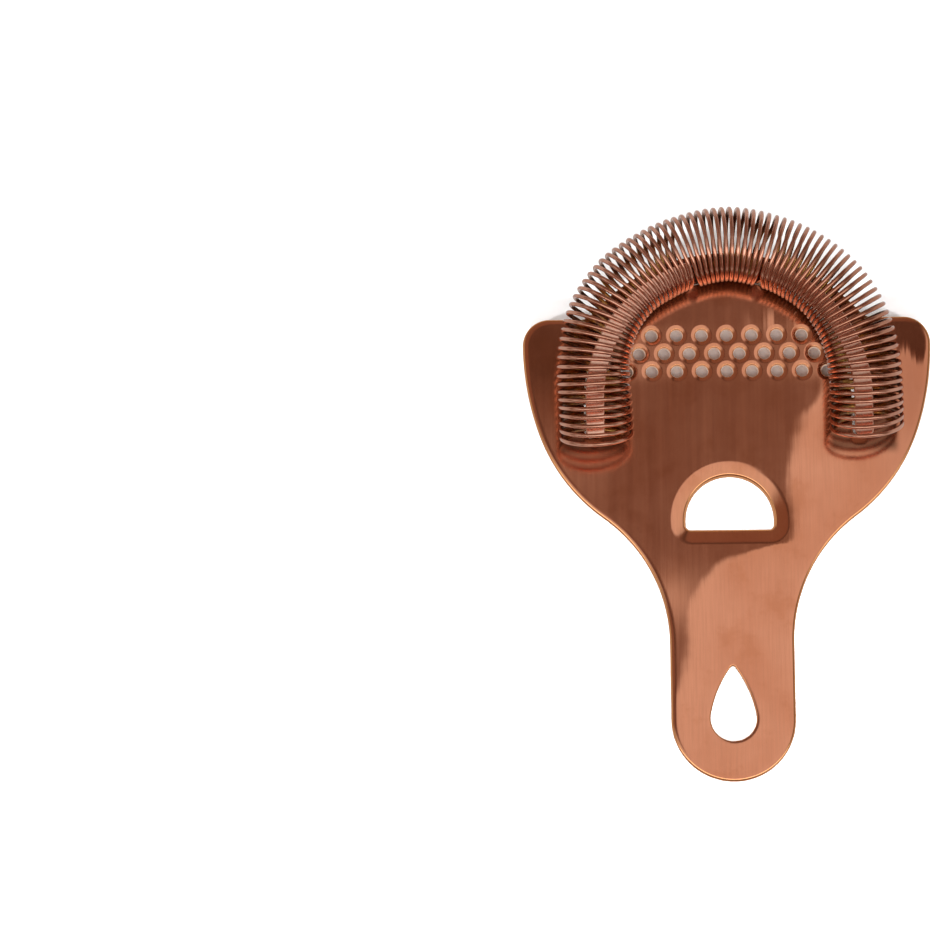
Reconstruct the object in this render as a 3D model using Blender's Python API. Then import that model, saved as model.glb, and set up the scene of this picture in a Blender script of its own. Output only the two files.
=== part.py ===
"""A two-ear hawthorne strainer, lying with its spring upwards.

It has two pieces. strainer_plate is one sheet-metal pressing: a disc with two rest ears, a
neck and a short handle, three rows of flared drain holes, a lipped pouring hole, a teardrop
hang hole, and two curved tabs cut from the sheet and stepped up above it. coil_spring is one
round wire wound into an open coil and bent into a horseshoe. The tabs run inside the two
halves of the coil, each entering between two turns near the front.

+X is to the right, +Y towards the spring's bow, and +Z up, on the spring's side. All lengths
below are in millimetres and are scaled to metres where objects are made.
"""

import math

import bmesh
import bpy

MM = 0.001

# Sheet, with its upper face at local Z = 0, and how far its pressed lips reach below that
SHEET = 1.2
REST_DEPTH = 2.4
EDGE_ROUND = 0.35

# Placing: the whole strainer is centred on X and Y and rests on its lips at Z = 0
FRAME_Y = 25.4
FRAME_Z = REST_DEPTH

# Outline of the right half, from the front's middle round to the handle's end
FRONT_Y = 38.1
FRONT_RADIUS, FRONT_TURN = 45.6, 48.57
EAR_NOTCH_RADIUS = 4.5
EAR_TOP_LENGTH = 7.66
EAR_CORNER_RADIUS = 6.9
EAR_SIDE_RADIUS, EAR_SIDE_TURN = 70.0, 19.0
DISC_RADIUS, DISC_TURN = 45.55, 34.7
NECK_RADIUS = 40.0
HANDLE_STRAIGHT = 19.9

# Beyond this far out, an ear's upper face is a separate pad that a tin's rim bears on
PAD_X = 45.0

# Drain holes
HOLE_ROWS = ((16.7, 7), (12.0, 8), (7.4, 9))
HOLE_PITCH = 6.4
HOLE_PROFILE = (
    (2.45, 0.0),
    (1.85, -0.85),
    (1.55, -1.45),
    (1.55, -REST_DEPTH),
    (2.0, -REST_DEPTH),
    (2.3, -SHEET),
)
HOLE_SIDES = 14

# Pouring hole: an arch with a straight lower side and a lip pressed downwards
ARCH_RADIUS = 11.2
ARCH_Y = -31.1
ARCH_FOOT_Y = -33.4
ARCH_CORNER = 1.2
LIP_PROFILE = (
    (3.1, 0.0),
    (2.3, -0.28),
    (0.75, -1.1),
    (0.18, -1.45),
    (0.0, -1.8),
    (0.0, -2.22),
    (0.18, -REST_DEPTH),
    (1.2, -REST_DEPTH),
    (1.6, -2.25),
    (3.4, -SHEET),
)

# Hang hole
DROP_TIP_Y = -68.8
DROP_TIP_RADIUS, DROP_TIP_TURN = 0.8, 54.4
DROP_SIDE_RADIUS = 30.0
DROP_END_RADIUS = 5.85

# Tabs that hold the spring, and the slots left under them
TAB_ARC_Y = -1.0
TAB_RADIUS = 34.25
TAB_HALF_WIDTH = 2.4
TAB_ROOT = 7.4
TAB_LEVEL = 7.6
TAB_RAMP = 78.0
TAB_BEND = 1.2
TAB_TIP_Y = -11.0
SLOT_HALF_WIDTH = 2.75
SLOT_END_Y = -9.7
TIP_CORNER = 1.6

# Spring
COIL_ARC_Y = 3.7
COIL_RADIUS = 34.6
WIRE_RADIUS = 0.48
TURN_RADIUS = 9.2
COIL_LEVEL = 10.0
TURNS = 78.0 + 24.0 / 360.0
FIRST_ANGLE = -139.0
POINTS_PER_TURN = 12
SPACING = (-0.1, 64.4, -1.1, 4.35)
HALF_LENGTH = 69.0
LEFT_LEAN, RIGHT_LEAN = 24.0, 28.0
LEFT_SLANT, RIGHT_SLANT = -1.0, 1.5
ROOT_TURN = 32.0 + 192.0 / 360.0
ROOT_SIDE = 233.0
ROOT_SPREAD = 1.9
ROOT_REACH = 7.0

# How far the spring sits out from its even horseshoe, by length along it from the middle
SWAY = (
    (-72.0, -0.6),
    (-64.0, -0.4),
    (-56.0, 0.0),
    (-46.0, 0.6),
    (-36.0, 1.0),
    (-28.0, 0.9),
    (-20.0, 0.1),
    (-10.0, -0.2),
    (0.0, 0.2),
    (10.0, -0.2),
    (20.0, 0.0),
    (30.0, 0.4),
    (40.0, 0.2),
    (50.0, 0.0),
    (60.0, 0.2),
    (72.0, 0.1),
)

COPPER = (0.80, 0.41, 0.28, 1.0)


def clear_scene():
    for obj in list(bpy.data.objects):
        bpy.data.objects.remove(obj)


def copper(name, roughness):
    material = bpy.data.materials.new(name)
    material.use_nodes = True
    shader = material.node_tree.nodes["Principled BSDF"]
    shader.inputs["Base Color"].default_value = COPPER
    shader.inputs["Metallic"].default_value = 1.0
    shader.inputs["Roughness"].default_value = roughness
    material.diffuse_color = COPPER
    return material


def arc_chain(start, pieces, step=6.0):
    """Points along arcs that follow on from each other, heading along +X at first.

    Each piece is (radius, turn in degrees), a turn to the right being positive, or
    (None, length) for a straight.
    """
    x, y = start
    heading = 0.0
    points = [(x, y)]
    for radius, amount in pieces:
        if radius is None:
            x += amount * math.cos(heading)
            y -= amount * math.sin(heading)
            points.append((x, y))
            continue
        turn = math.radians(amount)
        side = math.copysign(radius, turn)
        centre_x = x - side * math.sin(heading)
        centre_y = y - side * math.cos(heading)
        count = max(2, math.ceil(abs(amount) / step))
        for k in range(1, count + 1):
            angle = heading + turn * k / count
            points.append((centre_x + side * math.sin(angle), centre_y + side * math.cos(angle)))
        heading += turn
        x, y = points[-1]
    return points


def mirrored_loop(half):
    """The closed loop of a half whose first and last points lie on the Y axis."""
    return half + [(-x, y) for x, y in reversed(half[1:-1])]


def outline_loop():
    pieces = [
        (FRONT_RADIUS, FRONT_TURN),
        (EAR_NOTCH_RADIUS, -FRONT_TURN),
        (None, EAR_TOP_LENGTH),
        (EAR_CORNER_RADIUS, 90.0),
        (EAR_SIDE_RADIUS, EAR_SIDE_TURN),
        (DISC_RADIUS, DISC_TURN),
        (NECK_RADIUS, -EAR_SIDE_TURN - DISC_TURN),
        (None, HANDLE_STRAIGHT),
    ]
    half = arc_chain((0.0, FRONT_Y), pieces)
    end_x, end_y = half[-1]
    for k in range(1, 13):
        angle = math.radians(7.5 * k)
        half.append((end_x * math.cos(angle), end_y - end_x * math.sin(angle)))
    half[-1] = (0.0, half[-1][1])
    return mirrored_loop(half)


def drop_loop():
    tip = math.radians(DROP_TIP_TURN)
    ratio = (DROP_SIDE_RADIUS - DROP_TIP_RADIUS) / (DROP_SIDE_RADIUS - DROP_END_RADIUS)
    side_turn = math.degrees(math.asin(ratio * math.sin(tip))) - DROP_TIP_TURN
    pieces = [
        (DROP_TIP_RADIUS, DROP_TIP_TURN),
        (DROP_SIDE_RADIUS, side_turn),
        (DROP_END_RADIUS, 180.0 - DROP_TIP_TURN - side_turn),
    ]
    half = arc_chain((0.0, DROP_TIP_Y), pieces, step=10.0)
    half[-1] = (0.0, half[-1][1])
    return mirrored_loop(half)


def arch_loop(offset):
    """The pouring hole's edge, moved outwards by offset."""
    radius = ARCH_RADIUS + offset
    corner = ARCH_CORNER + offset
    foot = ARCH_FOOT_Y - offset
    half = []
    for k in range(13):
        angle = math.radians(7.5 * k)
        half.append((radius * math.sin(angle), ARCH_Y + radius * math.cos(angle)))
    for k in range(5):
        angle = math.radians(22.5 * k)
        x = radius - corner + corner * math.cos(angle)
        half.append((x, foot + corner - corner * math.sin(angle)))
    half.append((0.0, foot))
    return mirrored_loop(half)


def ring(x, y, radius, sides):
    angles = [math.tau * k / sides for k in range(sides)]
    return [(x + radius * math.sin(a), y + radius * math.cos(a)) for a in angles]


def tab_path(along):
    """Plan position and outward direction at a length along the right tab from the front."""
    quarter = TAB_RADIUS * math.pi / 2
    if along <= quarter:
        angle = along / TAB_RADIUS
        out = (math.sin(angle), math.cos(angle))
        return (TAB_RADIUS * out[0], TAB_ARC_Y + TAB_RADIUS * out[1]), out
    return (TAB_RADIUS, TAB_ARC_Y - (along - quarter)), (1.0, 0.0)


def beside_path(along, offset, side):
    (x, y), out = tab_path(along)
    return (side * (x + offset * out[0]), y + offset * out[1])


def length_at(y):
    return TAB_RADIUS * math.pi / 2 + TAB_ARC_Y - y


def path_stations(first, last):
    """Lengths from first to last, close together on the arc and wide apart on the leg."""
    quarter = TAB_RADIUS * math.pi / 2
    arc = [first + (quarter - first) * k / 12 for k in range(13)]
    return arc + [0.5 * (quarter + last), last]


def rounded_end(half_width, last):
    """(length, half width) pairs that round a strip's end off."""
    pairs = []
    for k in range(1, 5):
        angle = math.radians(22.5 * k)
        along = last - TIP_CORNER + TIP_CORNER * math.sin(angle)
        pairs.append((along, half_width - TIP_CORNER + TIP_CORNER * math.cos(angle)))
    return pairs


def slot_loop(side):
    last = length_at(SLOT_END_Y)
    stations = path_stations(TAB_ROOT, last - TIP_CORNER)
    edge = [(s, SLOT_HALF_WIDTH) for s in stations] + rounded_end(SLOT_HALF_WIDTH, last)
    outer = [beside_path(s, w, side) for s, w in edge]
    inner = [beside_path(s, -w, side) for s, w in reversed(edge)]
    root = [beside_path(TAB_ROOT, w, side) for w in (-TAB_HALF_WIDTH, TAB_HALF_WIDTH)]
    return outer + inner + root


def tab_profile():
    """(length, height, slope) of the middle of the tab's sheet, from its root to its tip."""
    ramp = math.radians(TAB_RAMP)
    low = -0.5 * SHEET
    rise = TAB_BEND * (1 - math.cos(ramp))
    run = TAB_BEND * math.sin(ramp)
    top = TAB_ROOT + 2 * run + (TAB_LEVEL - low - 2 * rise) / math.tan(ramp)
    profile = []
    for k in range(5):
        slope = ramp * k / 4
        height = low + TAB_BEND * (1 - math.cos(slope))
        profile.append((TAB_ROOT + TAB_BEND * math.sin(slope), height, slope))
    for k in range(5):
        slope = ramp * (4 - k) / 4
        height = TAB_LEVEL - TAB_BEND * (1 - math.cos(slope))
        profile.append((top - TAB_BEND * math.sin(slope), height, slope))
    last = length_at(TAB_TIP_Y)
    for along in path_stations(top, last - TIP_CORNER)[1:]:
        profile.append((along, TAB_LEVEL, 0.0))
    return profile


class Sheet:
    """Builds the plate's mesh, closed loop by closed loop."""

    def __init__(self):
        self.mesh = bmesh.new()
        self.weight = self.mesh.edges.layers.float.new("bevel_weight_edge")

    def loop(self, points, height):
        return [self.mesh.verts.new((x, y, height)) for x, y in points]

    def edges(self, verts):
        found = []
        for a, b in zip(verts, verts[1:] + verts[:1]):
            found.append(self.mesh.edges.get((a, b)) or self.mesh.edges.new((a, b)))
        return found

    def band(self, upper, lower):
        for k in range(len(upper)):
            j = (k + 1) % len(upper)
            self.mesh.faces.new((upper[k], upper[j], lower[j], lower[k]))

    def wall(self, points, rounded):
        """A straight cut through the sheet: its edge loops in the upper and lower face."""
        upper = self.loop(points, 0.0)
        lower = self.loop(points, -SHEET)
        self.band(upper, lower)
        if rounded:
            for edge in self.edges(upper) + self.edges(lower):
                edge[self.weight] = 1.0
        return upper, lower

    def fill(self, loops):
        edges = [edge for verts in loops for edge in self.edges(verts)]
        bmesh.ops.triangle_fill(self.mesh, edges=edges, use_beauty=True)


def add_flare(sheet, loops):
    """A hole whose edge follows several (points, height) loops, from upper to lower face."""
    rings = [sheet.loop(points, height) for points, height in loops]
    for upper, lower in zip(rings, rings[1:]):
        sheet.band(upper, lower)
    return rings[0], rings[-1]


def add_slot_and_tab(sheet, side):
    """The slot's walls, and the tab that rises from the slot's root edge."""
    points = slot_loop(side)
    upper = sheet.loop(points, 0.0)
    lower = sheet.loop(points, -SHEET)
    count = len(points)
    for k in range(count):
        j = (k + 1) % count
        if k != count - 2:
            sheet.mesh.faces.new((upper[k], upper[j], lower[j], lower[k]))
    section = (upper[-2], upper[-1], lower[-1], lower[-2])
    widths = [(along, height, slope, TAB_HALF_WIDTH) for along, height, slope in tab_profile()]
    for along, width in rounded_end(TAB_HALF_WIDTH, length_at(TAB_TIP_Y)):
        widths.append((along, TAB_LEVEL, 0.0, width))
    for along, height, slope, width in widths[1:]:
        verts = []
        for face, edge in ((1, -1), (1, 1), (-1, 1), (-1, -1)):
            shift = face * 0.5 * SHEET
            x, y = beside_path(along - shift * math.sin(slope), edge * width, side)
            verts.append(sheet.mesh.verts.new((x, y, height + shift * math.cos(slope))))
        for k in range(4):
            j = (k + 1) % 4
            sheet.mesh.faces.new((section[k], section[j], verts[j], verts[k]))
        section = verts
    sheet.mesh.faces.new(section)
    return upper, lower


def set_off_pads(sheet, outline):
    """Faces the ears' pads, and returns the loop round the rest of the upper face."""
    rest = list(outline)
    for side in (1, -1):
        pad = [vert for vert in outline if side * vert.co.x > PAD_X]
        sheet.mesh.faces.new(pad)
        rest = [vert for vert in rest if vert not in pad[1:-1]]
    return rest


def make_plate():
    sheet = Sheet()
    pairs = [sheet.wall(outline_loop(), True), sheet.wall(drop_loop(), True)]
    pairs.append(add_flare(sheet, [(arch_loop(offset), z) for offset, z in LIP_PROFILE]))
    for row_y, count in HOLE_ROWS:
        for k in range(count):
            x = HOLE_PITCH * (k - (count - 1) / 2)
            rings = [(ring(x, row_y, r, HOLE_SIDES), z) for r, z in HOLE_PROFILE]
            pairs.append(add_flare(sheet, rings))
    for side in (1, -1):
        pairs.append(add_slot_and_tab(sheet, side))
    uppers = [upper for upper, lower in pairs]
    uppers[0] = set_off_pads(sheet, uppers[0])
    sheet.fill(uppers)
    sheet.fill([lower for upper, lower in pairs])
    bmesh.ops.recalc_face_normals(sheet.mesh, faces=sheet.mesh.faces)
    bmesh.ops.scale(sheet.mesh, vec=(MM, MM, MM), verts=sheet.mesh.verts)
    data = bpy.data.meshes.new("strainer_plate")
    sheet.mesh.to_mesh(data)
    sheet.mesh.free()
    plate = bpy.data.objects.new("strainer_plate", data)
    bpy.context.scene.collection.objects.link(plate)
    plate.location = (0.0, FRAME_Y * MM, FRAME_Z * MM)
    bevel = plate.modifiers.new("rounded_edges", "BEVEL")
    bevel.limit_method = "WEIGHT"
    bevel.width = EDGE_ROUND * MM
    bevel.segments = 2
    data.materials.append(copper("plate_copper", 0.26))
    return plate


def sway(station):
    for (low, first), (high, second) in zip(SWAY, SWAY[1:]):
        if station <= high:
            break
    return first + (second - first) * (station - low) / (high - low)


def coil_frame(station):
    """Plan position, forward and outward directions on the horseshoe, from left to right."""
    quarter = COIL_RADIUS * math.pi / 2
    over = max(0.0, abs(station) - quarter)
    angle = max(-quarter, min(quarter, station)) / COIL_RADIUS
    out = (math.sin(angle), math.cos(angle))
    forward = (math.cos(angle), -math.sin(angle))
    reach = COIL_RADIUS + sway(station)
    return (reach * out[0], reach * out[1] - over), forward, out


def coil_station(turn):
    """Length along the horseshoe after some turns: the turns lie wider towards the ends."""
    share = 2 * turn / TURNS - 1
    return sum(factor * share**power for power, factor in enumerate(SPACING))


def root_shift(turn, angle):
    """How far a turn is pushed aside, low and inside, by the tab that enters beside it."""
    weight = max(0.0, math.cos(angle - math.radians(ROOT_SIDE)))
    shift = 0.0
    for root in (ROOT_TURN, TURNS - ROOT_TURN):
        rank = turn - root
        shift += math.copysign(math.exp(-abs(rank) / ROOT_REACH), rank)
    return ROOT_SPREAD * weight * shift


def wire_point(turn):
    """A point on the wire's centreline, from the middle of the horseshoe's arc."""
    angle = math.radians(FIRST_ANGLE) + math.tau * turn
    station = coil_station(turn)
    (x, y), forward, out = coil_frame(station)
    end = (station / HALF_LENGTH) ** 3
    lean = math.radians(LEFT_LEAN if station < 0 else RIGHT_LEAN)
    slant = math.radians(LEFT_SLANT if station < 0 else RIGHT_SLANT)
    tilt = math.tan(lean) * math.sin(angle) - math.tan(slant) * math.cos(angle)
    along = TURN_RADIUS * end * tilt + root_shift(turn, angle)
    across = TURN_RADIUS * math.cos(angle)
    along *= 1 + across / COIL_RADIUS if abs(station) < COIL_RADIUS * math.pi / 2 else 1
    return (
        x + across * out[0] + along * forward[0],
        y + across * out[1] + along * forward[1],
        TURN_RADIUS * math.sin(angle),
    )


def make_spring():
    data = bpy.data.curves.new("coil_spring", "CURVE")
    data.dimensions = "3D"
    spline = data.splines.new("POLY")
    count = round(TURNS * POINTS_PER_TURN)
    spline.points.add(count)
    for k in range(count + 1):
        x, y, z = wire_point(TURNS * k / count)
        spline.points[k].co = (x * MM, y * MM, z * MM, 1.0)
    data.bevel_depth = WIRE_RADIUS * MM
    data.bevel_resolution = 1
    data.use_fill_caps = True
    data.materials.append(copper("spring_copper", 0.2))
    spring = bpy.data.objects.new("coil_spring", data)
    bpy.context.scene.collection.objects.link(spring)
    spring.location = (0.0, (FRAME_Y + COIL_ARC_Y) * MM, (FRAME_Z + COIL_LEVEL) * MM)
    return spring


clear_scene()
make_plate()
make_spring()
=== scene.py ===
"""Looks of the two-ear hawthorne strainer: a satin copper pressing and its bright wire spring.

The plate and the spring are both rebuilt finer than the CAD solids that they stand for, from
the same sizes. Lengths are in millimetres until a mesh is made. The plate's shapes are drawn
about the middle of the disc, with the sheet's upper face at height 0, and then placed.
"""

import math

import bmesh
import bpy
import numpy as np
from mathutils import Matrix, Vector, noise


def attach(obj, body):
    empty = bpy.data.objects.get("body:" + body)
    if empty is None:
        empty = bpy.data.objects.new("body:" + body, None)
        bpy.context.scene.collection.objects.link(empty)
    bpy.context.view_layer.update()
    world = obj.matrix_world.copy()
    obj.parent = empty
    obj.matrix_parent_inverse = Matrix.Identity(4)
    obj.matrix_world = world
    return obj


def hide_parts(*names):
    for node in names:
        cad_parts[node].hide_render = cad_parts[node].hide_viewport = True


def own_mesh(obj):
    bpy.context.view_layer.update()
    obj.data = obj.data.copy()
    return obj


MM = 0.001
SHEET = 1.2
DEPTH = 2.4  # from the sheet's upper face down to the feet of its lips
PLACE = (0.0, 25.4, 2.4)  # the disc's middle, in the part's own frame

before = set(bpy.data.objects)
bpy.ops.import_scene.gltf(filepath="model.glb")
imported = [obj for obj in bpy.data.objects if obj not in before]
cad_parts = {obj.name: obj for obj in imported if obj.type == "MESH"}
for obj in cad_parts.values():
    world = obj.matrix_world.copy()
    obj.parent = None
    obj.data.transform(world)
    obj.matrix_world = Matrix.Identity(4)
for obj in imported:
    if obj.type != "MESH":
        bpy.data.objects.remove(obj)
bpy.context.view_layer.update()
bpy.context.scene.view_settings.view_transform = "Standard"


def add_object(name, data):
    made = bpy.data.objects.new(name, data)
    bpy.context.scene.collection.objects.link(made)
    return made


# ---------------------------------------------------------------- plan shapes

FRONT_Y = 38.1
OUTLINE = (  # from the front's middle: (radius, turn to the right) or (None, length)
    (45.6, 48.57),  # front of the disc
    (4.5, -48.57),  # notch beside the ear
    (None, 7.66),  # ear's front edge
    (6.9, 90.0),  # ear's corner
    (70.0, 19.0),  # ear's side
    (45.55, 34.7),  # side of the disc
    (40.0, -53.7),  # neck
    (None, 19.9),  # handle's side
)
STRAIGHT_STEP = 1.5

ARCH_RADIUS, ARCH_Y, ARCH_FOOT_Y, ARCH_CORNER = 11.2, -31.1, -33.4, 1.2

DROP_TIP_Y = -68.8
DROP_TIP_RADIUS, DROP_TIP_TURN = 0.8, 54.4
DROP_SIDE_RADIUS, DROP_END_RADIUS = 30.0, 5.85

HOLE_ROWS = ((16.7, 7), (12.0, 8), (7.4, 9))  # (y, number of holes)
HOLE_PITCH, HOLE_RADIUS, HOLE_SIDES = 6.4, 1.55, 36


def arc_chain(start, pieces, step):
    """Points and outward normals along arcs that follow on, heading along +X at first.

    Each piece is (radius, turn in degrees), a turn to the right being positive, or
    (None, length) for a straight. An arc has a point about every step degrees.
    """
    x, y = start
    heading = 0.0
    points = [(x, y, heading)]
    for radius, amount in pieces:
        if radius is None:
            count = max(1, round(amount / STRAIGHT_STEP))
            for k in range(count):
                x += amount / count * math.cos(heading)
                y -= amount / count * math.sin(heading)
                points.append((x, y, heading))
            continue
        turn = math.radians(amount)
        side = math.copysign(radius, turn)
        centre_x = x - side * math.sin(heading)
        centre_y = y - side * math.cos(heading)
        count = max(2, math.ceil(abs(amount) / step))
        for k in range(1, count + 1):
            angle = heading + turn * k / count
            points.append((centre_x + side * math.sin(angle), centre_y + side * math.cos(angle), angle))
        heading += turn
        x, y = points[-1][:2]
    return [(x, y, math.sin(h), math.cos(h)) for x, y, h in points]


def mirrored(half):
    """The closed loop, as an array of x, y, nx, ny, of a right half with both ends on the Y axis."""
    right = half[:-1] + [(0.0, half[-1][1], 0.0, -1.0)]
    left = [(-x, y, -u, v) for x, y, u, v in reversed(right[1:-1])]
    return np.array(right + left)


def outline_loop():
    half = arc_chain((0.0, FRONT_Y), OUTLINE, 1.5)
    end_x, end_y = half[-1][:2]
    for k in range(1, 46):
        angle = math.radians(2.0 * k)
        along, down = math.cos(angle), -math.sin(angle)
        half.append((end_x * along, end_y + end_x * down, along, down))
    return mirrored(half)


def drop_loop():
    """The hang hole's edge, with normals that point into the metal."""
    tip = math.radians(DROP_TIP_TURN)
    ratio = (DROP_SIDE_RADIUS - DROP_TIP_RADIUS) / (DROP_SIDE_RADIUS - DROP_END_RADIUS)
    side_turn = math.degrees(math.asin(ratio * math.sin(tip))) - DROP_TIP_TURN
    pieces = [
        (DROP_TIP_RADIUS, DROP_TIP_TURN),
        (DROP_SIDE_RADIUS, side_turn),
        (DROP_END_RADIUS, 180.0 - DROP_TIP_TURN - side_turn),
    ]
    return mirrored(arc_chain((0.0, DROP_TIP_Y), pieces, 4.0))


def arch_loop():
    """The pouring hole's edge, with normals that point into the metal."""
    half = []
    for k in range(46):
        a = math.radians(2.0 * k)
        x, y = math.sin(a), math.cos(a)
        half.append((ARCH_RADIUS * x, ARCH_Y + ARCH_RADIUS * y, x, y))
    flat = ARCH_RADIUS - ARCH_CORNER
    for k in range(1, 10):
        a = math.radians(10.0 * k)
        x, y = math.cos(a), math.sin(a)
        half.append((flat + ARCH_CORNER * x, ARCH_FOOT_Y + ARCH_CORNER - ARCH_CORNER * y, x, -y))
    for k in range(1, 9):
        half.append((flat * (1 - k / 8), ARCH_FOOT_Y, 0.0, -1.0))
    return mirrored(half)


def ring_loop(x, y, radius, sides):
    a = np.arange(sides) * math.tau / sides
    return np.stack([x + radius * np.sin(a), y + radius * np.cos(a), np.sin(a), np.cos(a)], axis=1)


# ---------------------------------------------------------------- mesh making


class Skin:
    """A mesh built loop by loop, with its own shading normal at each vertex."""

    def __init__(self):
        self.mesh = bmesh.new()
        self.normals = []

    def loop(self, points, normals):
        made = []
        for point, normal in zip(points, normals):
            made.append(self.mesh.verts.new(point))
            self.normals.append(tuple(normal))
        return made

    def band(self, first, second):
        count = len(first)
        for k in range(count):
            j = (k + 1) % count
            self.mesh.faces.new((first[k], first[j], second[j], second[k]))

    def sweep(self, plan, profile, inward):
        """Rings that follow a plan loop. The profile holds (offset into the metal, height, tilt).

        inward is 1 where the plan's normals point into the metal, as round a hole, and -1
        where they point out of it. A tilt of 0 faces up, and 90 faces out of the metal.
        """
        rings = []
        for offset, height, tilt in profile:
            spot = plan[:, :2] + inward * offset * plan[:, 2:]
            t = math.radians(tilt)
            flat = -inward * math.sin(t) * plan[:, 2:]
            points = [(x, y, height) for x, y in spot]
            rings.append(self.loop(points, [(u, v, math.cos(t)) for u, v in flat]))
        for first, second in zip(rings, rings[1:]):
            self.band(first, second)
        return rings[0], rings[-1]

    def fill(self, loops):
        edges = []
        for verts in loops:
            for a, b in zip(verts, verts[1:] + verts[:1]):
                edges.append(self.mesh.edges.get((a, b)) or self.mesh.edges.new((a, b)))
        bmesh.ops.triangle_fill(self.mesh, edges=edges, use_beauty=True)

    def finish(self, name, offset):
        bmesh.ops.recalc_face_normals(self.mesh, faces=self.mesh.faces)
        data = bpy.data.meshes.new(name)
        self.mesh.to_mesh(data)
        self.mesh.free()
        data.transform(Matrix.Scale(MM, 4) @ Matrix.Translation(Vector(offset)))
        data.shade_smooth()
        data.normals_split_custom_set_from_vertices(self.normals)
        return add_object(name, data)


# ---------------------------------------------------------------- edge profiles


def corner(height, radius, first, last, count):
    """Profile rows round a corner of the sheet, between two tilts, about a centre at height."""
    rows = []
    for k in range(count + 1):
        tilt = first + (last - first) * k / count
        t = math.radians(tilt)
        rows.append((radius * (1 - math.sin(t)), height + radius * math.cos(t), tilt))
    return rows


LOWER_ROUND = 0.25
LOWER_CORNER = corner(LOWER_ROUND - SHEET, LOWER_ROUND, 90.0, 180.0, 5)


def cut_edge(roll, reach):
    """A sheared edge through the sheet: a soft roll at the top and a small one below."""
    rows = [(reach, 0.0, 0.0), (0.55 * (reach + roll), -0.006, 1.5)]
    return rows + corner(-roll, roll, 6.0, 90.0, 7) + LOWER_CORNER


# The outline's edge rolls over softly
OUTLINE_PROFILE = (
    [(1.7, 0.0, 0.0), (1.3, -0.008, 2.5), (1.0, -0.03, 6.0), (0.75, -0.065, 10.0), (0.55, -0.11, 17.0)]
    + [(0.38, -0.175, 28.0), (0.24, -0.27, 41.0), (0.12, -0.4, 55.0), (0.04, -0.56, 71.0), (0.0, -0.74, 88.0)]
    + LOWER_CORNER
)

# A drain hole: a shallow cone, a wall, a rounded foot, and back up its outside
HOLE_PROFILE = (
    [(1.2, 0.0, 0.0), (1.08, -0.005, 4.0), (0.95, -0.019, 8.0), (0.8, -0.043, 10.5), (0.6, -0.082, 11.5)]
    + [(0.4, -0.125, 12.5), (0.24, -0.165, 16.0), (0.17, -0.2, 32.0), (0.12, -0.26, 52.0)]
    + [(0.07, -0.4, 68.0), (0.03, -0.74, 79.0), (0.0, -1.1, 88.0), (-0.02, -2.1, 90.0)]
    + [(0.0, -2.3, 115.0), (0.1, -2.39, 155.0), (0.2, -DEPTH, 180.0), (0.32, -DEPTH, 200.0)]
    + [(0.44, -2.32, 235.0), (0.48, -2.15, 265.0), (0.52, -1.7, 262.0), (0.62, -1.42, 245.0)]
    + [(0.85, -1.27, 215.0), (1.2, -SHEET, 180.0)]
)

# The pouring hole: a broad sloping lip that turns down to a flat foot
LIP_PROFILE = (
    [(4.1, 0.0, 0.0), (3.7, -0.015, 4.0), (3.3, -0.06, 8.0), (2.9, -0.13, 11.0)]
    + [(1.2, -0.49, 12.5), (0.85, -0.57, 14.0), (0.65, -0.66, 32.0), (0.47, -0.82, 47.0)]
    + [(0.3, -1.04, 57.0), (0.14, -1.33, 67.0), (0.04, -1.62, 78.0), (0.0, -1.9, 88.0)]
    + [(0.0, -2.2, 92.0), (0.06, -2.33, 120.0), (0.2, -DEPTH, 165.0), (0.35, -DEPTH, 180.0)]
    + [(1.1, -DEPTH, 180.0), (1.35, -2.33, 202.0), (1.7, -2.1, 216.0), (2.3, -1.62, 218.0)]
    + [(2.8, -1.34, 205.0), (3.5, -SHEET, 180.0)]
)


# ---------------------------------------------------------------- tabs and plate

# A tab follows a quarter circle and then a straight. Lengths along it start at the Y axis.
TAB_RADIUS, TAB_ARC_Y = 34.25, -1.0
QUARTER = TAB_RADIUS * math.pi / 2
TAB_HALF_WIDTH, SLOT_HALF_WIDTH = 2.4, 2.5
TAB_ROOT, TAB_TIP = 7.4, QUARTER + TAB_ARC_Y + 11.0
SLOT_END = QUARTER + TAB_ARC_Y + 9.7
END_CORNER = 1.6
TAB_LEVEL, TAB_BEND = 7.6, 1.2
TAB_EDGE = 0.3
RAMP = math.radians(78.0)


def tab_path(along):
    """The point at a length along the right tab's middle line, and its outward direction."""
    if along <= QUARTER:
        angle = along / TAB_RADIUS
        out = (math.sin(angle), math.cos(angle))
        return TAB_RADIUS * out[0], TAB_ARC_Y + TAB_RADIUS * out[1], out
    return TAB_RADIUS, TAB_ARC_Y - (along - QUARTER), (1.0, 0.0)


def beside(along, offset, side):
    x, y, out = tab_path(along)
    return side * (x + offset * out[0]), y + offset * out[1]


def round_end(last, half_width):
    """(length, half width, cosine, sine) round one corner of a tab's or a slot's end."""
    rows = []
    for k in range(1, 9):
        a = math.radians(11.25 * k)
        c, s = math.cos(a), math.sin(a)
        rows.append((last - END_CORNER + END_CORNER * s, half_width - END_CORNER + END_CORNER * c, c, s))
    return rows


def slot_plan(side):
    """The slot's edge, with normals into the metal."""
    length = SLOT_END - END_CORNER - TAB_ROOT
    rows = [(TAB_ROOT + length * k / 60, SLOT_HALF_WIDTH, 1.0, 0.0) for k in range(61)]
    rows += round_end(SLOT_END, SLOT_HALF_WIDTH)
    rows += [(along, -width, -across, on) for along, width, across, on in reversed(rows)]
    plan = []
    for along, width, across, on in rows:
        x, y = beside(along, width, side)
        out = tab_path(along)[2]
        forward = (out[1], -out[0])
        normal_x = side * (across * out[0] + on * forward[0])
        plan.append((x, y, normal_x, across * out[1] + on * forward[1]))
    return np.array(plan)


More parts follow.
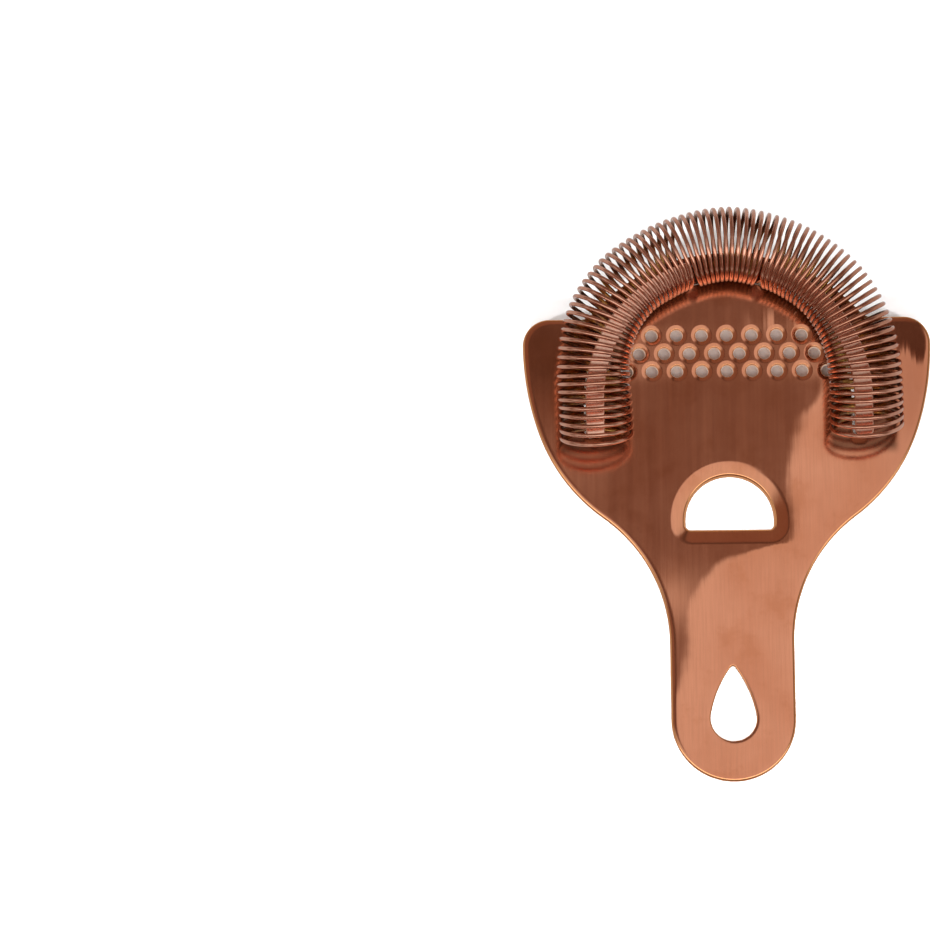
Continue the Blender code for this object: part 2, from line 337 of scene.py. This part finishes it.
def tab_stations():
    """(length, height, slope) of the middle of the tab's sheet, from its root to its tip."""
    low = -0.5 * SHEET
    rise = TAB_BEND * (1 - math.cos(RAMP))
    run = TAB_BEND * math.sin(RAMP)
    top = TAB_ROOT + 2 * run + (TAB_LEVEL - low - 2 * rise) / math.tan(RAMP)
    rows = []
    for k in range(13):
        slope = RAMP * k / 12
        rows.append((TAB_ROOT + TAB_BEND * math.sin(slope), low + TAB_BEND * (1 - math.cos(slope)), slope))
    for k in range(13):
        slope = RAMP * (12 - k) / 12
        rows.append((top - TAB_BEND * math.sin(slope), TAB_LEVEL - TAB_BEND * (1 - math.cos(slope)), slope))
    last = TAB_TIP - END_CORNER
    rows += [(top + (last - top) * k / 60, TAB_LEVEL, 0.0) for k in range(1, 61)]
    return rows


def tab_section(half_width):
    """(across, up, normal across, normal up) round the tab's sheet, with rounded edges."""
    rows = []
    for side, face, first in ((1, 1, 0), (1, -1, 90), (-1, -1, 180), (-1, 1, 270)):
        for k in range(5):
            a = math.radians(first + 22.5 * k)
            across = side * (half_width - TAB_EDGE) + TAB_EDGE * math.sin(a)
            up = face * (0.5 * SHEET - TAB_EDGE) + TAB_EDGE * math.cos(a)
            rows.append((across, up, math.sin(a), math.cos(a)))
    return rows


def add_tab(skin, side):
    rows = [(along, height, slope, TAB_HALF_WIDTH) for along, height, slope in tab_stations()]
    rows += [(along, TAB_LEVEL, 0.0, width) for along, width, _, _ in round_end(TAB_TIP, TAB_HALF_WIDTH)]
    rings = []
    for along, height, slope, half_width in rows:
        points, normals = [], []
        out = tab_path(along)[2]
        forward = Vector((side * out[1], -out[0], 0.0))
        sideways = Vector((side * out[0], out[1], 0.0))
        lift = Vector((0, 0, 1)) * math.cos(slope) - forward * math.sin(slope)
        for across, up, normal_across, normal_up in tab_section(half_width):
            x, y = beside(along - up * math.sin(slope), across, side)
            points.append((x, y, height + up * math.cos(slope)))
            normals.append(sideways * normal_across + lift * normal_up)
        rings.append(skin.loop(points, normals))
    for first, second in zip(rings, rings[1:]):
        skin.band(first, second)
    skin.mesh.faces.new(rings[0])
    tip = [Vector(v.co) for v in rings[-1]]
    skin.mesh.faces.new(skin.loop(tip, [(0.0, -1.0, 0.0)] * len(tip)))


def make_plate():
    skin = Skin()
    pairs = [
        skin.sweep(outline_loop(), OUTLINE_PROFILE, -1),
        skin.sweep(drop_loop(), cut_edge(0.42, 1.1), 1),
        skin.sweep(arch_loop(), LIP_PROFILE, 1),
    ]
    for row_y, count in HOLE_ROWS:
        for k in range(count):
            x = HOLE_PITCH * (k - (count - 1) / 2)
            pairs.append(skin.sweep(ring_loop(x, row_y, HOLE_RADIUS, HOLE_SIDES), HOLE_PROFILE, 1))
    for side in (1, -1):
        pairs.append(skin.sweep(slot_plan(side), cut_edge(0.2, 0.3), 1))
    skin.fill([upper for upper, lower in pairs])
    skin.fill([lower for upper, lower in pairs])
    for side in (1, -1):
        add_tab(skin, side)
    return skin.finish("strainer_plate_fine", PLACE)


# ---------------------------------------------------------------- spring

COIL_RADIUS, COIL_ARC_Y, COIL_LEVEL = 34.6, 3.7, 10.0
WIRE, TURN_RADIUS = 0.535, 9.02
TURNS = 78.0 + 24.0 / 360.0
FIRST_ANGLE = math.radians(-139.0)
HALF_LENGTH = 69.0
SPACING = (-0.1, 64.4, -1.1, 4.35)  # length along the spring, in powers of the share from its middle
WANDER = 0.12
LEANS, SLANTS = (24.0, 28.0), (-1.0, 1.5)  # degrees, of the left and the right end turns

# Under each tab's ramp the turns are pushed apart, most of all at ROOT_SIDE round a turn
ROOT_TURN = 32.0 + 192.0 / 360.0
ROOT_SIDE = math.radians(233.0)
ROOT_SPREAD, ROOT_REACH = 1.9, 7.0  # millimetres, turns

# How far the spring sits out from its even horseshoe, by length along it from the middle
SWAY_AT = (-72, -64, -56, -46, -36, -28, -20, -10, 0, 10, 20, 30, 40, 50, 60, 72)
SWAY = (-0.6, -0.4, 0, 0.6, 1.0, 0.9, 0.1, -0.2, 0.2, -0.2, 0, 0.4, 0.2, 0, 0.2, 0.1)

WIRE_END = ((0.93, 0.05), (0.75, 0.08))  # (share of the wire's radius, length past the end)


def root_push(turn):
    """How far the turns are pushed along the spring, on their side nearest the ramps."""
    push = np.zeros(len(turn))
    for root in (ROOT_TURN, TURNS - ROOT_TURN):
        rank = turn - root
        push += np.sign(rank) * np.exp(-np.abs(rank) / ROOT_REACH)
    return ROOT_SPREAD * push


def wire_line(turn):
    """The wire's centreline at an array of turns, and the spring's own centreline there."""
    share = 2 * turn / TURNS - 1
    wander = np.array([noise.noise(Vector((0.9 * t, 3.1, 0.0))) for t in turn])
    station = sum(factor * share**power for power, factor in enumerate(SPACING))
    station += WANDER * wander * (1 - share**8)
    limit = COIL_RADIUS * math.pi / 2
    angle = np.clip(station, -limit, limit) / COIL_RADIUS
    over = np.maximum(0.0, np.abs(station) - limit)
    out = np.stack([np.sin(angle), np.cos(angle)], axis=1)
    forward = np.stack([np.cos(angle), -np.sin(angle)], axis=1)
    middle = (COIL_RADIUS + np.interp(station, SWAY_AT, SWAY))[:, None] * out
    middle[:, 1] -= over
    phase = FIRST_ANGLE + math.tau * turn
    end = (station / HALF_LENGTH) ** 3
    lean = np.tan(np.radians(np.where(station < 0, *LEANS))) * np.sin(phase)
    slant = np.tan(np.radians(np.where(station < 0, *SLANTS))) * np.cos(phase)
    weight = np.maximum(0.0, np.cos(phase - ROOT_SIDE))
    along = TURN_RADIUS * end * (lean - slant) + weight * root_push(turn)
    across = TURN_RADIUS * np.cos(phase)
    along = np.where(np.abs(station) < limit, along * (1 + across / COIL_RADIUS), along)
    flat = middle + across[:, None] * out + along[:, None] * forward
    line = np.column_stack([flat, TURN_RADIUS * np.sin(phase)])
    return line, np.column_stack([middle, 0 * share])


def unit_rows(vectors):
    return vectors / np.linalg.norm(vectors, axis=1)[:, None]


def make_spring(steps=44, sides=14):
    count = round(TURNS * steps)
    line, middle = wire_line(TURNS * np.arange(count + 1) / count)
    tangent = unit_rows(np.gradient(line, axis=0))
    radial = line - middle
    radial = unit_rows(radial - (radial * tangent).sum(1)[:, None] * tangent)
    binormal = np.cross(tangent, radial)
    a = np.arange(sides) * math.tau / sides
    spokes = np.cos(a)[None, :, None] * radial[:, None, :] + np.sin(a)[None, :, None] * binormal[:, None, :]
    rings = line[:, None, :] + WIRE * spokes
    caps = []
    for index, way in ((0, -1), (count, 1)):
        for inset, past in WIRE_END:
            caps.append(line[index] + WIRE * inset * spokes[index] + way * past * tangent[index])
    points = np.concatenate([caps[1][None], caps[0][None], rings, caps[2][None], caps[3][None]])
    index = np.arange(len(points) * sides).reshape(-1, sides)
    after = np.roll(index, -1, axis=1)
    quads = np.stack([index[:-1], after[:-1], after[1:], index[1:]], axis=-1).reshape(-1, 4)
    faces = quads.tolist() + [index[0][::-1].tolist(), index[-1].tolist()]
    place = np.array([PLACE[0], PLACE[1] + COIL_ARC_Y, PLACE[2] + COIL_LEVEL])
    data = bpy.data.meshes.new("coil_spring_fine")
    data.from_pydata(((points.reshape(-1, 3) + place) * MM).tolist(), [], faces)
    data.shade_smooth()
    data.update()
    return add_object("coil_spring_fine", data)


# ---------------------------------------------------------------- node trees


class Graph:
    """A short way to write a node tree."""

    def __init__(self, tree):
        self.tree = tree

    def node(self, kind, **values):
        made = self.tree.nodes.new(kind)
        for name, value in values.items():
            setattr(made, name, value)
        return made

    def put(self, socket, value):
        if isinstance(value, bpy.types.NodeSocket):
            self.tree.links.new(value, socket)
        else:
            socket.default_value = value

    def math(self, operation, a, b=0.0, c=0.0):
        made = self.node("ShaderNodeMath", operation=operation)
        for socket, value in zip(made.inputs, (a, b, c)):
            self.put(socket, value)
        return made.outputs[0]

    def product(self, first, *others):
        for other in others:
            first = self.math("MULTIPLY", first, other)
        return first

    def plus(self, value, mask, amount):
        return self.math("ADD", value, self.math("MULTIPLY", mask, amount))

    def axes(self, vector):
        parts = self.node("ShaderNodeSeparateXYZ")
        self.put(parts.inputs[0], vector)
        return tuple(parts.outputs)

    def millimetres(self, vector):
        return [self.math("MULTIPLY", axis, 1000.0) for axis in self.axes(vector)]

    def step(self, value, low, high):
        """0 below low, 1 above high, and smooth between. low may be the larger."""
        made = self.node("ShaderNodeMapRange", interpolation_type="SMOOTHSTEP")
        self.put(made.inputs["Value"], value)
        made.inputs["From Min"].default_value = low
        made.inputs["From Max"].default_value = high
        return made.outputs["Result"]

    def window(self, value, rise, fall):
        return self.product(self.step(value, *rise), self.step(value, *fall))

    def blob(self, x, y, at, size):
        """1 at a point, falling smoothly to 0 over about twice its size."""
        u = self.math("DIVIDE", self.math("SUBTRACT", x, at[0]), size[0])
        v = self.math("DIVIDE", self.math("SUBTRACT", y, at[1]), size[1])
        total = self.math("ADD", self.math("MULTIPLY", u, u), self.math("MULTIPLY", v, v))
        return self.math("EXPONENT", self.math("MULTIPLY", total, -1.0))

    def noise(self, vector, scale, detail, rough):
        made = self.node("ShaderNodeTexNoise")
        self.put(made.inputs["Vector"], vector)
        made.inputs["Scale"].default_value = scale
        made.inputs["Detail"].default_value = detail
        made.inputs["Roughness"].default_value = rough
        return made.outputs["Fac"]

    def curve(self, value, points, reach, height):
        """A smooth line through (at, value) points, the first at -reach and the last at reach."""
        made = self.node("ShaderNodeFloatCurve")
        self.put(made.inputs["Value"], self.math("DIVIDE", self.math("ADD", value, reach), 2 * reach))
        line = made.mapping.curves[0]
        spots = [((at + reach) / (2 * reach), (level + height) / (2 * height)) for at, level in points]
        line.points[0].location = spots[0]
        line.points[-1].location = spots[-1]
        for spot in spots[1:-1]:
            line.points.new(*spot)
        made.mapping.update()
        return self.math("MULTIPLY_ADD", made.outputs[0], 2 * height, -height)

    def mix(self, share, first, second):
        made = self.node("ShaderNodeMix", data_type="RGBA")
        self.put(made.inputs["Factor"], share)
        self.put(made.inputs["A"], first)
        self.put(made.inputs["B"], second)
        return made.outputs["Result"]

    def wash(self, tone, mask, share, colour):
        """tone, moved towards a colour by a share of the mask."""
        return self.mix(self.math("MULTIPLY", mask, share), tone, colour)


def new_material(name):
    material = bpy.data.materials.new(name)
    material.use_nodes = True
    graph = Graph(material.node_tree)
    return material, graph, material.node_tree.nodes["Principled BSDF"]


# ---------------------------------------------------------------- plate's material

# The plan direction in which the light card ends. The sheet's rolls tip it the same way.
LIGHT_WAY = (0.75, -0.66)
ROLL = math.radians(1.4)

# Where the sheet rolls from dark on the left to bright on the right, as (y, x)
ROLL_LINE = (
    ((-80, -17), (-55, -16), (-47, -11.8), (-39, -10.3), (-31, -9.6), (-25, -8), (-19.8, -5))
    + ((-15.9, -1), (-12.8, 8), (-10.5, 15.5), (2.2, 15.8), (9.9, 17), (20, 18.6), (28, 25), (80, 27))
)
ROLL_REACH, ROLL_HEIGHT = 80.0, 40.0
ROLL_DENTS = (  # (middle, size, how many rolls it adds)
    ((-40.0, 10.0), (9.0, 14.0), 0.75),
    ((-15.0, -26.0), (8.0, 8.0), 1.1),
    ((-46.0, 38.0), (12.0, 9.0), -1.2),
)


def plate_tilt(g, x, y, lifted, cloud, brushed):
    """How far the sheet's surface tips, in rolls. It isn't dead flat, which moves what it mirrors."""
    edge = g.curve(y, ROLL_LINE, ROLL_REACH, ROLL_HEIGHT)
    edge = g.plus(edge, cloud, 8.0)
    edge = g.plus(edge, brushed, 6.0)
    tilt = g.math("MULTIPLY_ADD", g.step(g.math("SUBTRACT", x, edge), -2.2, 2.2), 2.0, -1.0)

    # The right ear's front tips away, inside a ragged edge
    ragged = g.plus(g.plus(y, brushed, 13.0), g.step(x, 44.0, 48.0), 5.0)
    tilt = g.plus(tilt, g.product(g.step(x, 34.0, 36.0), g.step(ragged, 37.0, 42.5)), -3.4)

    # Each tab leans its own way
    tilt = g.plus(tilt, g.product(lifted, g.step(x, 5.0, -5.0)), 2.0)
    tilt = g.plus(tilt, g.product(lifted, g.step(x, -5.0, 5.0)), -1.2)

    for at, size, amount in ROLL_DENTS:
        tilt = g.plus(tilt, g.blob(x, y, at, size), amount)
    return g.math("ADD", tilt, brushed)


def hole_rows_tilt(g, tilt, x, y, streaks):
    """The plate's tilt with the streaks ahead of the drain holes, and the rows' own rise."""
    streak = g.product(g.step(streaks, 0.45, 0.55), g.blob(x, y, (15.0, 45.5), (9.0, 3.6)))
    tilt = g.plus(tilt, streak, 1.9)
    sides = g.math("DIVIDE", x, 24.0)
    rise = g.math("MULTIPLY_ADD", g.product(sides, sides), 0.8, 0.15)
    rows = g.product(g.window(y, (28.5, 33.0), (47.0, 42.5)), rise)
    return g.plus(tilt, rows, g.step(g.math("ABSOLUTE", x), 30.0, 26.0))


def tipped_normal(g, tilt):
    """The surface's normal, tipped by a number of rolls."""
    amount = g.math("MULTIPLY", tilt, math.tan(ROLL))
    lean = g.node("ShaderNodeCombineXYZ")
    g.put(lean.inputs["X"], g.math("MULTIPLY", amount, LIGHT_WAY[0]))
    g.put(lean.inputs["Y"], g.math("MULTIPLY", amount, LIGHT_WAY[1]))
    total = g.node("ShaderNodeVectorMath", operation="ADD")
    g.put(total.inputs[0], g.node("ShaderNodeNewGeometry").outputs["Normal"])
    g.put(total.inputs[1], lean.outputs[0])
    unit = g.node("ShaderNodeVectorMath", operation="NORMALIZE")
    g.put(unit.inputs[0], total.outputs[0])
    return unit.outputs[0]


def coil_shade_mask(g, x, y, z):
    """1 on the sheet beneath the spring, where the spring's shade is painted into the colour."""
    ahead = g.math("MAXIMUM", g.math("SUBTRACT", y, PLACE[1] + COIL_ARC_Y), 0.0)
    reach = g.math("SQRT", g.math("ADD", g.product(x, x), g.product(ahead, ahead)))
    ring = g.step(g.math("ABSOLUTE", g.math("SUBTRACT", reach, COIL_RADIUS)), 9.6, 7.4)
    return g.product(ring, g.step(y, 10.5, 13.5), g.step(z, 5.0, 3.0))


def plate_material():
    material, g, shader = new_material("satin_copper_plate")
    shader.inputs["Metallic"].default_value = 1.0
    shader.inputs["Anisotropic"].default_value = 0.35
    where = g.node("ShaderNodeTexCoord").outputs["Object"]
    x, y, z = g.millimetres(where)
    stretch = g.node("ShaderNodeMapping")
    g.put(stretch.inputs["Vector"], where)
    stretch.inputs["Scale"].default_value = (1.0, 0.03, 0.3)
    brush_way = stretch.outputs[0]
    grain = g.noise(brush_way, 2600.0, 3.0, 0.6)
    brushed = g.noise(brush_way, 420.0, 3.0, 0.7)
    streaks = g.noise(brush_way, 300.0, 2.0, 0.6)
    cloud = g.noise(where, 45.0, 3.0, 0.55)
    stain = g.noise(where, 95.0, 5.0, 0.65)
    smudge = g.noise(where, 160.0, 4.0, 0.6)
    lifted = g.step(z, 4.0, 6.0)

    around = [g.math("SUBTRACT", pattern, 0.5) for pattern in (cloud, brushed)]
    tilt = plate_tilt(g, x, y, lifted, *around)
    tilt = hole_rows_tilt(g, tilt, x, y, streaks)
    bump = g.node("ShaderNodeBump")
    bump.inputs["Strength"].default_value = 0.12
    bump.inputs["Distance"].default_value = 0.00002
    g.put(bump.inputs["Height"], grain)
    g.put(bump.inputs["Normal"], tipped_normal(g, tilt))
    g.put(shader.inputs["Normal"], bump.outputs[0])

    normal_z = g.axes(g.node("ShaderNodeNewGeometry").outputs["Normal"])[2]
    tone = g.mix(g.step(cloud, 0.35, 0.65), (0.88, 0.37, 0.215, 1), (0.80, 0.31, 0.17, 1))
    tone = g.wash(tone, g.step(stain, 0.52, 0.68), 0.45, (0.70, 0.25, 0.12, 1))
    # Painted reflection: a darker patch painted over the plate's right side
    tone = g.wash(tone, g.blob(x, y, (47.0, 28.0), (12.0, 22.0)), 0.6, (0.50, 0.17, 0.09, 1))
    # Painted highlight: faces that tip away from level, such as the rolled edges, lips and hole walls, are
    # painted a brighter gold
    tone = g.wash(tone, g.step(normal_z, 0.992, 0.93), 0.6, (0.95, 0.50, 0.20, 1))
    tone = g.wash(tone, g.step(grain, 0.35, 0.7), 0.22, (0.66, 0.26, 0.15, 1))
    # Painted shade: the sheet beneath the spring is painted dark
    tone = g.wash(tone, coil_shade_mask(g, x, y, z), 0.74, (0.10, 0.042, 0.022, 1))
    # Painted highlight: the tabs are painted a lighter pink than the rest of the same sheet
    tone = g.wash(tone, lifted, 0.9, (1.0, 0.62, 0.47, 1))
    g.put(shader.inputs["Base Color"], tone)
    rough = g.plus(g.math("MULTIPLY_ADD", smudge, 0.05, 0.07), grain, 0.05)
    g.put(shader.inputs["Roughness"], rough)
    brushing = g.node("ShaderNodeTangent", direction_type="RADIAL", axis="Y")
    g.put(shader.inputs["Tangent"], brushing.outputs[0])
    return material


# ---------------------------------------------------------------- wire's and floor's materials


def wire_material():
    """Copper wire, with shade painted dark on its right front and low down, and brassy glints painted near
    the plate.
    """
    material, g, shader = new_material("bright_copper_wire")
    shader.inputs["Metallic"].default_value = 1.0
    where = g.node("ShaderNodeTexCoord").outputs["Object"]
    x, y, z = g.millimetres(where)
    cloud = g.noise(where, 260.0, 3.0, 0.6)
    fine = g.noise(where, 2200.0, 2.0, 0.5)
    right = g.product(g.step(x, 8.0, 22.0), g.step(y, 30.0, 45.0))
    painted_glint = g.product(g.step(z, 7.5, 5.0), g.step(cloud, 0.42, 0.6))
    tone = g.mix(g.step(cloud, 0.35, 0.7), (0.72, 0.37, 0.26, 1), (0.58, 0.27, 0.18, 1))
    # Painted shade on the wire at the spring's right front
    tone = g.wash(tone, right, 0.6, (0.52, 0.22, 0.13, 1))
    # Painted shade: the turns are painted darker the lower they go
    tone = g.wash(tone, g.step(z, 17.0, 7.0), 0.8, (0.19, 0.10, 0.05, 1))
    # Painted glints: brassy gold flecks painted on the low turns near the plate
    tone = g.wash(tone, painted_glint, 0.7, (0.75, 0.45, 0.11, 1))
    g.put(shader.inputs["Base Color"], tone)
    g.put(shader.inputs["Roughness"], g.math("MULTIPLY_ADD", fine, 0.1, 0.14))
    return material


def floor_material():
    material, g, shader = new_material("pale_floor")
    where = g.node("ShaderNodeTexCoord").outputs["Object"]
    cloud = g.noise(where, 30.0, 4.0, 0.6)
    tone = g.mix(cloud, (0.78, 0.78, 0.785, 1), (0.80, 0.80, 0.80, 1))
    g.put(shader.inputs["Base Color"], tone)
    shader.inputs["Roughness"].default_value = 0.9
    shader.inputs["Specular IOR Level"].default_value = 0.1
    return material


# ---------------------------------------------------------------- light, floor, camera


def studio_world():
    """What the metal mirrors: a card overhead that ends in a dark warm ceiling, a bright strip
    in front, softboxes low on the right and left, and a pale glow from below the horizon.
    """
    world = bpy.data.worlds.new("studio")
    world.use_nodes = True
    bpy.context.scene.world = world
    g = Graph(world.node_tree)
    x, y, z = g.axes(g.node("ShaderNodeTexCoord").outputs["Generated"])
    up = g.math("MAXIMUM", z, 0.02)
    right = g.math("MULTIPLY", g.math("ARCTAN2", x, up), 180 / math.pi)
    rear = g.math("MULTIPLY", g.math("ARCTAN2", y, up), 180 / math.pi)
    off_right, off_rear = g.math("ABSOLUTE", right), g.math("ABSOLUTE", rear)
    slope = g.plus(g.math("MULTIPLY", right, LIGHT_WAY[0]), rear, LIGHT_WAY[1])

    front = g.product(g.step(rear, 5.0, -3.0), g.step(right, -6.0, -12.0))
    card = g.math("MAXIMUM", g.step(slope, -6.2, -2.4), front)
    card = g.product(card, g.step(z, 0.72, 0.90))
    strip = g.product(g.window(rear, (-17.0, -24.0), (-46.0, -38.0)), g.step(off_right, 66.0, 52.0))
    below = g.step(z, 0.06, -0.12)
    east = g.product(g.step(z, 0.5, 0.2), g.step(x, 0.3, 0.8))
    west = g.product(g.window(right, (-50.0, -60.0), (-84.0, -74.0)), g.step(off_rear, 60.0, 45.0))
    level = g.math("MULTIPLY", card, 0.75)
    for mask, power in ((strip, 2.0), (below, 0.62), (east, 0.6), (west, 0.7)):
        level = g.math("MAXIMUM", level, g.math("MULTIPLY", mask, power))

    shade = g.mix(g.step(slope, -10.0, -6.5), (0.10, 0.068, 0.055, 1), (0.20, 0.128, 0.10, 1))
    shade = g.mix(g.step(slope, -11.0, -16.0), shade, (0.25, 0.16, 0.125, 1))
    shade = g.mix(g.step(level, 0.0, 0.5), shade, (0.0, 0.0, 0.0, 1))
    white = g.node("ShaderNodeVectorMath", operation="SCALE")
    white.inputs[0].default_value = (1.0, 0.985, 0.97)
    g.put(white.inputs["Scale"], level)
    glow = g.node("ShaderNodeMix", data_type="RGBA", blend_type="ADD")
    glow.inputs["Factor"].default_value = 1.0
    g.put(glow.inputs["A"], shade)
    g.put(glow.inputs["B"], white.outputs[0])
    background = world.node_tree.nodes["Background"]
    g.put(background.inputs["Color"], glow.outputs["Result"])
    background.inputs["Strength"].default_value = 1.0


def add_lamp(name, kind, energy):
    """A lamp for the floor only: it is kept out of the metal's reflections."""
    data = bpy.data.lights.new(name, kind)
    data.energy = energy
    lamp = add_object(name, data)
    lamp.visible_glossy = False
    return lamp


# (degrees round from the handle's end, power)
WASH_SUNS = ((22.5, 6.2), (67.5, 5.4), (112.5, 2.0), (157.5, 1.2))


def floor_lamps():
    """Low suns from all round wash the floor out, and a small spot clears the two big holes."""
    for azimuth, power in WASH_SUNS:
        for side in (1, -1):
            wash = add_lamp("floor_wash", "SUN", power)
            wash.data.angle = math.radians(6.0)
            wash.rotation_euler = (math.radians(74.0), 0.0, math.radians(side * azimuth))
    spot = add_lamp("hole_spot", "SPOT", 22.0)
    spot.data.spot_size = math.radians(7.6)
    spot.data.spot_blend = 0.15
    spot.data.shadow_soft_size = 0.02
    spot.location = (0.0, -0.029, 0.6)


def make_floor():
    side = 6.0
    data = bpy.data.meshes.new("floor")
    corners = [(-side, -side, 0.0), (side, -side, 0.0), (side, side, 0.0), (-side, side, 0.0)]
    data.from_pydata(corners, [], [(0, 1, 2, 3)])
    data.materials.append(floor_material())
    floor = add_object("floor", data)
    floor.visible_glossy = False


def make_camera():
    """A long lens above the handle's side, a little to the left. Places are in metres."""
    data = bpy.data.cameras.new("camera")
    camera = add_object("camera", data)
    bpy.context.scene.camera = camera
    away = Vector((-0.055, -0.165, 1.0)).normalized()
    camera.location = Vector((0.0, 0.0, 0.0024)) + 3.0 * away
    aim = Vector((-0.06602, 0.0082, 0.0))
    forward = (aim - camera.location).normalized()
    roll = math.radians(0.88)
    right = forward.cross(Vector((math.sin(roll), math.cos(roll), 0.0))).normalized()
    up = right.cross(forward)
    camera.rotation_mode = "QUATERNION"
    camera.rotation_quaternion = Matrix((right, up, -forward)).transposed().to_quaternion()
    data.sensor_width = 36.0
    data.lens = 450.7
    data.clip_start = 0.1
    data.clip_end = 20.0


plate = make_plate()
plate.data.materials.append(plate_material())
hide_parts("strainer_plate")
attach(plate, "plate")

spring = make_spring()
spring.data.materials.append(wire_material())
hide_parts("coil_spring")
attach(spring, "plate")
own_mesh(spring)

make_floor()
studio_world()
floor_lamps()
make_camera()
